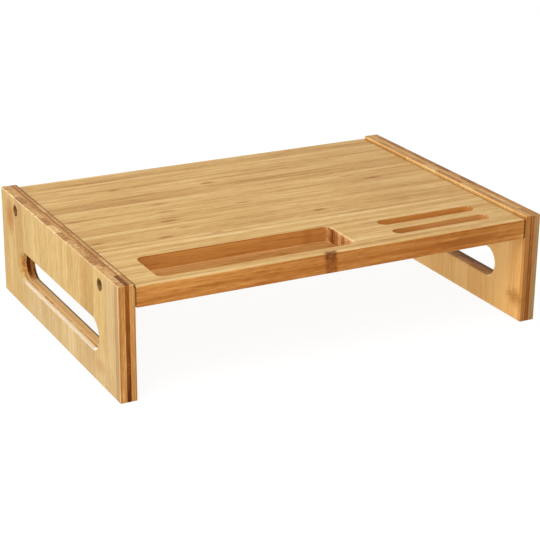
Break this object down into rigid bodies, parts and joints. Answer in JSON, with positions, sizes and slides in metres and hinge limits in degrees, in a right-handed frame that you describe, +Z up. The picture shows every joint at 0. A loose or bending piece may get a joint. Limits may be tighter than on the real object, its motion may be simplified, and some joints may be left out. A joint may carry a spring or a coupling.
{
  "type": "monitor stand",
  "caption": "Bamboo monitor stand: a shelf board with a pen tray and standing slots, bolted between side panels with hand slots.",
  "frame": {"origin": "centre of the stand's footprint, on the surface that it stands on", "axes": "+X from the tray side to the slot side, +Y from front to rear, +Z up"},
  "size_m": [0.4, 0.28, 0.1],
  "materials": {
    "bamboo_board": "satin lacquer",
    "bamboo_face": "satin lacquer",
    "bamboo_core": "satin lacquer",
    "bolt_steel": "zinc plated",
    "nut_steel": "zinc plated",
    "dowel_wood": "raw"
  },
  "bodies": {
    "root": {"shelf_board": "bamboo_board", "left_outer_ply": "bamboo_face", "left_core_ply": "bamboo_core", "left_inner_ply": "bamboo_face", "right_inner_ply": "bamboo_face", "right_core_ply": "bamboo_core", "right_outer_ply": "bamboo_face", "bolt_left_front": "bolt_steel", "bolt_left_rear": "bolt_steel", "bolt_right_front": "bolt_steel", "bolt_right_rear": "bolt_steel", "barrel_nut_left_front": "nut_steel", "barrel_nut_left_rear": "nut_steel", "barrel_nut_right_front": "nut_steel", "barrel_nut_right_rear": "nut_steel", "dowel_left_front": "dowel_wood", "dowel_left_rear": "dowel_wood", "dowel_right_front": "dowel_wood", "dowel_right_rear": "dowel_wood"}
  },
  "joints": []
}
